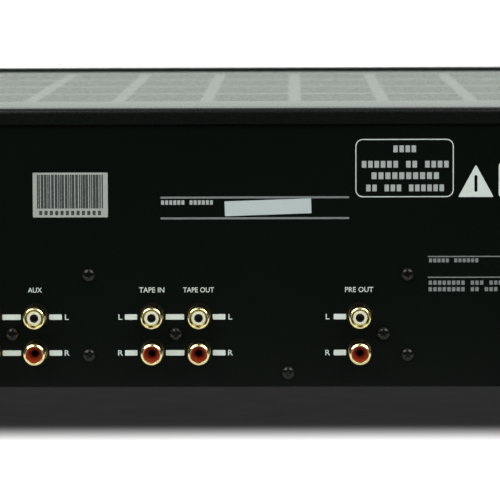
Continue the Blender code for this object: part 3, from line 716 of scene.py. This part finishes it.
def rear_screws():
    stays = [(x, z) for x in (79.3 * MM, -43.2 * MM) for z in (BASE + 43.7 * MM, BASE + 12.7 * MM)]
    blocks = [(x * MM, JACK_MIDDLE) for x in (108.8, 144.8, 45.9, -34)]
    rear = stays + blocks + [(2.7 * MM, BASE + 5.8 * MM)]
    places = [((x, REAR, z), 17 + 41 * n) for n, (x, z) in enumerate(rear)]
    screws("rear_panel_screws", screw_head(2.65 * MM, 1.7 * MM), places, TO_REAR)

    z = (PLATE_LOW.z + PLATE_HIGH.z) / 2
    ends = [((x, PLATE_HIGH.y, z), 30) for x in (PLATE_LOW.x + 3.2 * MM, PLATE_HIGH.x - 3.2 * MM)]
    screws("terminal_plate_screws", screw_head(1.9 * MM, 1.1 * MM), ends, TO_REAR)


def cover_screws():
    head = screw_head(2.9 * MM, 0.9 * MM)
    for side, sign in (("left", -1), ("right", 1)):
        facing = Matrix.Rotation(math.radians(90 * sign), 4, "Y")
        rows = enumerate((-0.14, 0.0, 0.14))
        places = [((sign * COVER_HIGH.x, y, BASE + 8 * MM), 25 + 50 * n) for n, y in rows]
        screws(f"cover_screws_{side}", head, places, facing)


# Prints on the rear panel


def stamp(ink, outlines, side=TO_REAR, at=REAR):
    """Prints flat shapes, in local x and y, on the rear panel or the fascia."""
    merge(ink, filled(outlines, at - 0.01 * MM, at + PRINT_DEPTH), side)


def bar(x0, x1, z, height, radius=0.3 * MM):
    """A rounded bar on the rear panel between two x, as an outline."""
    centre = (-(x0 + x1) / 2, z)
    half = (abs(x1 - x0) / 2, height / 2)
    return rounded_rectangle(centre, half, min(radius, 0.9 * half[1]), 3)


def lettering(ink, text, centre, size, side=TO_REAR, at=REAR):
    """A generic legend, stretched to a (width, height), on the rear panel or the fascia."""
    curve = bpy.data.curves.new("legend", "FONT")
    curve.body = text
    curve.extrude = PRINT_DEPTH
    curve.resolution_u = 3
    curve.offset = 0.008
    mesh = from_curve(curve, 0)
    for axis in (0, 1):
        low = min(vertex.co[axis] for vertex in mesh.verts)
        high = max(vertex.co[axis] for vertex in mesh.verts)
        scale = size[axis] / (high - low)
        for vertex in mesh.verts:
            vertex.co[axis] = centre[axis] + (vertex.co[axis] - (low + high) / 2) * scale
    for vertex in mesh.verts:
        vertex.co.z = at + (PRINT_DEPTH if vertex.co.z > 0 else -0.01 * MM)
    merge(ink, mesh, side)


def word_marks(ink, x0, x1, z, height, words):
    """Plain blocks in place of a line of small print, from x0 to x1 on the rear panel."""
    letters = sum(words) + len(words) - 1
    step = (x1 - x0) / letters
    n = 0
    for word in words:
        for _ in range(word):
            left = x0 + n * step
            stamp(ink, [bar(left + 0.14 * step, left + 0.86 * step, z, height, 0.1 * MM)])
            n += 1
        n += 1


def socket_marks(ink):
    """Bars that join the sockets of each row, and the letter of its channel at the ends."""
    tall = 2.1 * MM
    rows = ((JACK_TOP - 0.4 * MM, "L", 1.5 * MM), (JACK_BOTTOM - 0.4 * MM, "R", 1.9 * MM))
    for block, places in JACKS.items():
        columns = [x for x, _ in places[::2]]
        for z, letter, wide in rows:
            for a, b in zip(columns, columns[1:]):
                middle = (a + b) / 2 + 0.3 * MM
                stamp(ink, [bar(middle - 3.55 * MM, middle + 3.55 * MM, z, tall)])
            if block != "pre_out":
                x = columns[-1]
                stamp(ink, [bar(x - 5.2 * MM, x - 10.1 * MM, z, tall)])
                lettering(ink, letter, (-(x - 12 * MM), z), (wide, tall))
            if block != "line":
                x = columns[0]
                start = 5.8 * MM if block == "tape" else 5.2 * MM
                stamp(ink, [bar(x + start, x + start + 4.8 * MM, z, tall)])
                lettering(ink, letter, (-(x + 12.3 * MM), z), (wide, tall))


def socket_names(ink):
    columns = [x for block in JACK_BLOCKS for x, _ in JACKS[block][::2]]
    names = ("PHONO", "CD", "TUNER", "AUX", "TAPE IN", "TAPE OUT", "PRE OUT")
    widths = (8.6, 3.6, 8.2, 5.4, 9.7, 11.9, 10.8)
    for text, x, width in zip(names, columns, widths):
        lettering(ink, text, (-x - 0.2 * MM, BASE + 37.85 * MM), (width * MM, 2 * MM))


def terminal_marks(ink):
    height = PLATE_HIGH.z + 2.6 * MM
    for name in TERMINALS:
        x = centre_of(f"speaker_cap_{name}")[0]
        sign, tall = ("+", 2 * MM) if name.endswith("plus") else ("-", 0.5 * MM)
        lettering(ink, sign, (-x, height), (2 * MM, tall))
    middle = -(PLATE_LOW.x + PLATE_HIGH.x) / 2
    for letter, dx in (("L", -19), ("R", 19)):
        lettering(ink, letter, (middle + dx * MM, height), (1.5 * MM, 2.1 * MM))


def box_outline(x0, x1, z0, z1, radius, line):
    """A framed box on the rear panel, in millimetres, with heights from the underside of the case."""
    centre = (-(x0 + x1) / 2 * MM, BASE + (z0 + z1) / 2 * MM)
    outlines = []
    for inset in (0, line):
        half = ((abs(x1 - x0) / 2 - inset) * MM, ((z1 - z0) / 2 - inset) * MM)
        outlines.append(rounded_rectangle(centre, half, (radius - inset) * MM))
    return outlines


def warning_triangle(left, right, bottom, top):
    """A triangle with round corners and a plain bar in it."""
    peak = (left + right) / 2
    triangle = []
    for centre, start in (
        ((peak, top - 0.6 * MM), 30),
        ((left + 0.5 * MM, bottom + 0.3 * MM), 150),
        ((right - 0.5 * MM, bottom + 0.3 * MM), 270),
    ):
        triangle += arc(centre, 0.3 * MM, start, start + 120, 4)
    return [triangle, rounded_rectangle((peak, bottom + 5.2 * MM), (0.6 * MM, 3.2 * MM), 0.5 * MM, 3)]


def notice_prints(white, pale, grey):
    """Plain boxes, lines and blocks where a maker prints notices and ratings."""
    stamp(white, box_outline(-23.2, -60.8, 73.35, 95.7, 2.8, 0.38))
    stamp(white, box_outline(-78, -112, 73.5, 86.3, 0.9, 0.6))
    stamp(white, [rounded_rectangle((95 * MM, BASE + 76.7 * MM), (16.4 * MM, 3 * MM), 0.5 * MM, 2)])
    stamp(white, warning_triangle(62.5 * MM, 76.1 * MM, BASE + 73.35 * MM, BASE + 85.8 * MM))

    for x0, x1, height, thick in (
        (51.5, -20.8, 73.4, 0.75),
        (51.5, -20.8, 65.4, 0.75),
        (-50.9, -150, 50.5, 0.42),
        (-50.9, -150, 42.5, 0.42),
    ):
        stamp(grey, [bar(x0 * MM, x1 * MM, BASE + height * MM, thick * MM, 0.1 * MM)])

    for ink, x0, x1, height, tall, words in (
        (pale, -37.4, -46.7, 91.9, 2.6, (4,)),
        (pale, -25.3, -59.2, 86.0, 2.6, (6, 2, 4)),
        (pale, -29.0, -55.5, 81.6, 2.6, (10,)),
        (pale, -27.0, -57.4, 76.9, 2.6, (2, 3, 6)),
        (pale, 51.5, 31.2, 71.5, 1.7, (6, 6)),
        (grey, -51.2, -70.5, 49, 1.5, (5, 6)),
        (grey, -51, -146, 40.4, 1.6, (8, 3, 10, 2, 3, 7, 2, 4, 6)),
        (grey, -51, -146, 37.9, 1.6, (8, 2, 3, 9, 4, 6, 2, 5, 6)),
    ):
        word_marks(ink, x0 * MM, x1 * MM, BASE + height * MM, tall * MM, words)


def striped_sticker():
    """A grey label with stripes and blocks that follow a counting rule and encode nothing."""
    left, right = -100.5 * MM, -71.7 * MM
    low, high = BASE + 65.9 * MM, BASE + 83.1 * MM
    centre = ((left + right) / 2, (high + low) / 2)
    half = ((right - left) / 2, (high - low) / 2)
    paper, ink = bmesh.new(), bmesh.new()
    stamp(paper, [rounded_rectangle(centre, half, 0.3 * MM, 2)])

    on_paper = REAR + PRINT_DEPTH
    top, bottom = high - 0.8 * MM, low + 3.4 * MM
    middle, tall = (top + bottom) / 2, (top - bottom) / 2
    x = left + 1.6 * MM
    n = 0
    while x < right - 1.6 * MM:
        width = (0.5 + 0.25 * ((n * 7 + n * n) % 4)) * MM
        gap = (0.15 + 0.1 * ((n * 5 + n // 3) % 3)) * MM
        stripe = rounded_rectangle((x + width / 2, middle), (width / 2, tall), 0.05 * MM, 1)
        stamp(ink, [stripe], at=on_paper)
        x += width + gap
        n += 1
    for n in range(12):
        block = (left + (3 + 2.05 * n) * MM, low + 1.7 * MM)
        stamp(ink, [rounded_rectangle(block, (0.6 * MM, 0.85 * MM), 0.2 * MM, 2)], at=on_paper)
    piece("striped_sticker", paper, "grey_paper")
    piece("sticker_stripes", ink, "bar_ink")


def blank_sticker():
    """A plain white label, stuck on at a slight angle."""
    outline = rounded_rectangle((0, 0), (16.6 * MM, 2.85 * MM), 0.2 * MM, 2)
    place = Matrix.Translation((-10.3 * MM, BASE + 69.6 * MM, REAR))
    tilt = Matrix.Rotation(math.radians(1.9), 4, "Z")
    mesh = merge(bmesh.new(), filled([outline], 0, PRINT_DEPTH * 2), TO_REAR @ place @ tilt)
    piece("blank_sticker", mesh, "label_paper")


def rear_prints():
    inks = {shade: bmesh.new() for shade in ("white", "pale", "grey")}
    socket_marks(inks["white"])
    socket_names(inks["white"])
    terminal_marks(inks["white"])
    notice_prints(**inks)
    for shade, ink in inks.items():
        piece(f"rear_print_{shade}", ink, f"print_{shade}")


# Front


def fascia():
    outlines = [outline_of("front_fascia", 2.2 * MM)]
    outlines += [circle(centre_of(f"{name}_knob"), 5.4 * MM) for name in KNOBS]
    outlines += [outline_of(f"{name}_button", 0.8 * MM, 0.35 * MM) for name in BUTTONS]
    outlines.append(circle(centre_of("headphone_jack"), 5.4 * MM))
    outlines.append(circle(centre_of("power_lamp"), 1.95 * MM))
    mesh = merge(bmesh.new(), filled(outlines, -FASCIA_HIGH.y, -FACE, 0.5 * MM), TO_FRONT)
    piece("fascia_plate", mesh, "anodised", replaces=["front_fascia"])


def knob(name):
    """A turned knob with a groove and a knurled waist, and a white line that shows where it points."""
    low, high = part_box(f"{name}_knob")
    at = centre_of(f"{name}_knob")
    radius = (high.x - low.x) / 2
    back, face = -high.y, -low.y
    length = face - back
    waist = 0.9 * radius
    profile = points(face, (0, -3.7), (3.3, -3.7)) + [(3.3 * MM, back), (radius - 0.5 * MM, back)]
    profile += arc((radius - 0.5 * MM, back + 0.5 * MM), 0.5 * MM, -90, 0)
    profile += arc((radius - 0.5 * MM, back + 0.52 * length - 0.5 * MM), 0.5 * MM, 0, 90)
    profile += [(waist - 0.1 * MM, back + 0.55 * length), (waist, back + 0.6 * length)]
    profile += arc((waist - 0.9 * MM, face - 0.9 * MM), 0.9 * MM, 0, 90, 5)
    dish = 0.72 * radius
    profile += [(dish, face), (dish - 0.4 * MM, face - 0.4 * MM), (0, face - 0.5 * MM)]
    mesh = lathe(bmesh.new(), profile, at, "front", 128, 64, 0.012, waist + 0.3 * MM)
    body = f"{name}_control"
    piece(f"{name}_knob_turned", mesh, "knob_metal", body, [f"{name}_knob"])

    width = 0.55 * MM if radius < 25 * MM else 0.8 * MM
    near, far = 0.34 * radius, 0.7 * radius
    outline = rounded_rectangle((0, (near + far) / 2), (width, (far - near) / 2), 0.9 * width, 4)
    mark = filled([outline], face - 0.55 * MM, face - 0.38 * MM)
    angle = Matrix.Rotation(math.radians(-KNOBS[name][0]), 4, "Z")
    line = merge(bmesh.new(), mark, TO_FRONT @ Matrix.Translation((*at, 0)) @ angle)
    piece(f"{name}_knob_line", line, "print_white", body)


def knob_scale(ink, name):
    """Ticks round a knob, numbered round the volume knob."""
    _, end, count = KNOBS[name]
    low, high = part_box(f"{name}_knob")
    centre = Vector(centre_of(f"{name}_knob"))
    radius = (high.x - low.x) / 2
    for n in range(count):
        angle = math.radians(2 * end * n / (count - 1) - end)
        direction = Vector((math.sin(angle), math.cos(angle)))
        outline = rounded_rectangle((0, 0), (0.22 * MM, 0.9 * MM), 0.15 * MM, 2)
        place = Matrix.Translation((*(centre + direction * (radius + 2.6 * MM)), 0))
        stamp(ink, [outline], TO_FRONT @ place @ Matrix.Rotation(-angle, 4, "Z"), -FACE)
        if name == "volume":
            label = centre + direction * (radius + 6.2 * MM)
            width = {1: 0.8, 10: 2.7}.get(n, 1.5) * MM
            lettering(ink, str(n), label, (width, 2.1 * MM), TO_FRONT, -FACE)


def front_legends():
    ink = bmesh.new()
    for name in KNOBS:
        knob_scale(ink, name)
    for text, name, width, height, drop in (
        ("VOLUME", "volume_knob", 12.5, 2.1, 8),
        ("INPUT", "selector_knob", 9, 2.1, 7),
        ("TREBLE", "treble_knob", 10.5, 2.1, 7),
        ("BASS", "bass_knob", 7.5, 2.1, 7),
        ("POWER", "power_button", 9.5, 1.9, 4),
        ("SPEAKERS", "speaker_button", 13.5, 1.9, 4),
        ("TAPE", "tape_button", 7.2, 1.9, 4),
        ("TONE", "tone_button", 7.4, 1.9, 4),
        ("PHONES", "headphone_jack", 11, 1.9, 4),
    ):
        place = (centre_of(name)[0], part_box(name)[0].z - drop * MM)
        lettering(ink, text, place, (width * MM, height * MM), TO_FRONT, -FACE)
    piece("fascia_legends", ink, "print_white")


def buttons():
    """Each cap, with the stem that carries it behind the fascia."""
    back = FASCIA_HIGH.y - 3.6 * MM
    for name in BUTTONS:
        low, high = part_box(f"{name}_button")
        x, z = centre_of(f"{name}_button")
        radius, stem = (0.7 * MM, 2.5 * MM) if name == "power" else (0.6 * MM, 2 * MM)
        mesh = rounded_box(bmesh.new(), low, (high.x, back, high.z), radius, 4)
        near, far = (x - stem, back + 0.05 * MM, z - stem), (x + stem, high.y, z + stem)
        rounded_box(mesh, near, far, 0.3 * MM, 1)
        piece(f"{name}_button_cap", mesh, "button_metal", f"{name}_push", [f"{name}_button"])


def headphone_socket():
    low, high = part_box("headphone_jack")
    at = centre_of("headphone_jack")
    face = -low.y
    ring = points(GAP - FACE, (3.25, -12), (4.7, -12), (4.7, 0), (7, 0))
    ring += arc((6.4 * MM, face - 0.6 * MM), 0.6 * MM, 0, 90)
    ring += arc((3.85 * MM, face - 0.6 * MM), 0.6 * MM, 90, 180)
    turned("headphone_socket_ring", ring, at, "front", 64, "nickel")
    behind = FASCIA_HIGH.y + 1.8 * MM
    body = rounded_box(bmesh.new(), (low.x, behind, low.z), high, 0.4 * MM, 2)
    lathe(body, points(-behind, (0, 0), (4.6, 0), (4.6, 0.4), (0, 0.4)), at, "front", 40)
    piece("headphone_socket_body", body, "moulding", replaces=["headphone_jack"])


def lamp():
    low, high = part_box("power_lamp")
    face = -low.y
    lens = points(-high.y, (0, 0), (1.6, 0)) + arc((0, face - 1.6 * MM), 1.6 * MM, 0, 80, 7) + [(0, face)]
    at = centre_of("power_lamp")
    turned("power_lamp_lens", lens, at, "front", 40, "lamp", replaces=["power_lamp"])


# Inside


def transformer():
    low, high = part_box("transformer_winding")
    at = centre_of("transformer_winding", "xy")
    outer = (high.x - low.x) / 2
    inner = 19 * MM
    middle = ((outer + inner) / 2, (low.z + high.z) / 2)
    half = ((outer - inner) / 2, (high.z - low.z) / 2)
    ring = rounded_rectangle(middle, half, 9 * MM, 6)
    mesh = lathe(bmesh.new(), ring, at, "up", 240, 80, 0.012)
    piece("transformer_coil", mesh, "winding", replaces=["transformer_winding"])


def reservoir_capacitors():
    """Sleeved cans with a crimped foot and a bare lid."""
    for side in ("left", "right"):
        name = f"filter_capacitor_{side}"
        low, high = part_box(name)
        at = centre_of(name, "xy")
        radius = (high.x - low.x) / 2
        wide = radius / MM
        can = points(low.z, (0, 0), (wide - 0.6, 0))
        can += arc((radius - 1 * MM, low.z + 1.6 * MM), 1 * MM, -60, 0)
        can += points(low.z, (wide, 3.4), (wide - 0.7, 4.2), (wide, 5))
        can += arc((radius - 1.2 * MM, high.z - 1.2 * MM), 1.2 * MM, 0, 90)
        can += points(high.z, (wide - 2.4, 0), (wide - 2.6, -0.4), (0, -0.4))
        turned(f"{name}_can", can, at, "up", 56, "sleeve", replaces=[name])
        lid = points(high.z, (0, -0.35), (wide - 2.8, -0.35), (wide - 3, -0.1), (0, -0.1))
        turned(f"{name}_lid", lid, at, "up", 56, "zinc")


def board_parts():
    """Rows of resistors and small capacitors on the two boards, in a fixed pattern."""
    resistors, cans = bmesh.new(), bmesh.new()
    for board, left, columns, front, depth in (
        ("amplifier_board", -30, 16, 8, 34),
        ("preamp_board", -36, 22, 107, 36),
    ):
        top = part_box(board)[1].z + 0.1 * MM
        for i in range(columns):
            for j in range(4):
                x = (left + 9 * i + (j % 2) * 3) * MM
                y = (front + depth * j / 3) * MM
                if (i * 3 + j * 5) % 4 == 0:
                    size = (2.5 + (i + j) % 3) * MM
                    lid = top + 2.6 * size
                    can = [(0, top), (size, top), (size, top + 2.4 * size)]
                    can += [(size - 0.4 * MM, lid), (0, lid)]
                    lathe(cans, can, (x, y), "up", 20)
                else:
                    low = (x - 3 * MM, y - 1.1 * MM, top)
                    rounded_box(resistors, low, (x + 3 * MM, y + 1.1 * MM, top + 2.2 * MM), 0.9 * MM, 2)
    piece("board_resistors", resistors, "resistor")
    piece("board_small_capacitors", cans, "sleeve")


def plain_nodes():
    """CAD nodes that need no more than a material."""
    zinc = ["front_subpanel", "transformer_clamp", "heatsink_stay_left", "heatsink_stay_right"]
    zinc += ["selector_switch", "volume_pot", "treble_pot", "bass_pot"]
    zinc += [f"{name}_shaft" for name in KNOBS]
    for material, nodes in (
        ("powder_coat", ["bottom_pan"]),
        ("zinc", zinc),
        ("sink", ["heatsink"]),
        ("board", ["amplifier_board", "preamp_board", "button_switch_board"]),
        ("moulding", ["power_switch", "power_transistor_left", "power_transistor_right"]),
    ):
        for name in nodes:
            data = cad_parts[name].data
            data.materials.clear()
            data.materials.append(MATERIALS[material])


# Stage


def floor():
    mesh = bmesh.new()
    bmesh.ops.create_grid(mesh, x_segments=1, y_segments=1, size=30)
    made = mesh_object("floor", mesh)
    made.data.materials.append(MATERIALS["floor"])


def backdrop():
    """White to the camera. To the object, bright ahead of the front and dark behind."""
    world = bpy.data.worlds.new("studio")
    bpy.context.scene.world = world
    world.use_nodes = True
    tree = world.node_tree
    place = node(tree, "TexCoord", {}, "Generated")
    along = node(tree, "SeparateXYZ", {"Vector": place}, "Y")
    level = remap(tree, along, 0.5, -0.6, DARK_SIDE, BRIGHT_SIDE, "SMOOTHSTEP")
    tint = blend(tree, level, (0, 0, 0, 1), (0.915, 1.0, 0.92, 1), clamp=False)
    seen = node(tree, "LightPath", {}, "Is Camera Ray")
    shown = blend(tree, seen, tint, (1, 1, 1, 1))
    tree.links.new(shown, tree.nodes["Background"].inputs["Color"])


def softbox(name, at, target, size, power):
    light = bpy.data.lights.new(name, "AREA")
    light.shape = "RECTANGLE"
    light.size, light.size_y = size
    light.energy = power
    made = add_object(name, light)
    made.location = at
    made.rotation_euler = (Vector(target) - Vector(at)).to_track_quat("-Z", "Y").to_euler()
    made.visible_camera = False


def lights():
    """Two softboxes over the camera with a dark gap between them, a weak one overhead and one in front."""
    softbox("rear_left", (0.85, 1.3, 1.15), (0, REAR, 0.07), (1.1, 0.9), 17)
    softbox("rear_right", (-0.85, 1.3, 1.15), (0, REAR, 0.07), (1.1, 0.9), 17)
    softbox("overhead", (0, 0.25, 1.6), (0, 0.25, 0), (2, 0.9), 4)
    softbox("front_overhead", (0, -0.9, 1.7), (0, 0, 0), (1.6, 1.0), 22)


def camera():
    """Stands behind the amplifier and looks a little down, focused on the rear panel."""
    distance = 1.2915
    height = BASE + 172.4 * MM
    data = bpy.data.cameras.new("camera")
    data.lens = 243.4
    data.clip_start = 0.05
    focus = add_object("focus", None)
    focus.location = (0, REAR, BASE + 54 * MM)
    data.dof.use_dof = True
    data.dof.focus_object = focus
    data.dof.aperture_fstop = 45
    made = add_object("camera", data)
    made.location = (0, REAR + distance, height)
    down, pan, roll = math.radians(5.274), math.radians(0.7655), math.radians(-0.2)
    aim = Vector((math.sin(pan) * math.cos(down), -math.cos(pan) * math.cos(down), -math.sin(down)))
    turn = aim.to_track_quat("-Z", "Y").to_matrix() @ Matrix.Rotation(roll, 3, "Z")
    made.rotation_euler = turn.to_euler()
    bpy.context.scene.camera = made


def main():
    make_materials()
    plain_nodes()
    cover()
    rear_panel()
    feet()
    phono_sockets()
    terminal_plate()
    for name in TERMINALS:
        terminal(name)
    mains_inlet()
    rear_screws()
    cover_screws()
    rear_prints()
    striped_sticker()
    blank_sticker()
    fascia()
    for name in KNOBS:
        knob(name)
    front_legends()
    buttons()
    headphone_socket()
    lamp()
    transformer()
    reservoir_capacitors()
    board_parts()
    floor()
    backdrop()
    lights()
    camera()
    bpy.context.scene.view_settings.view_transform = "Standard"


main()
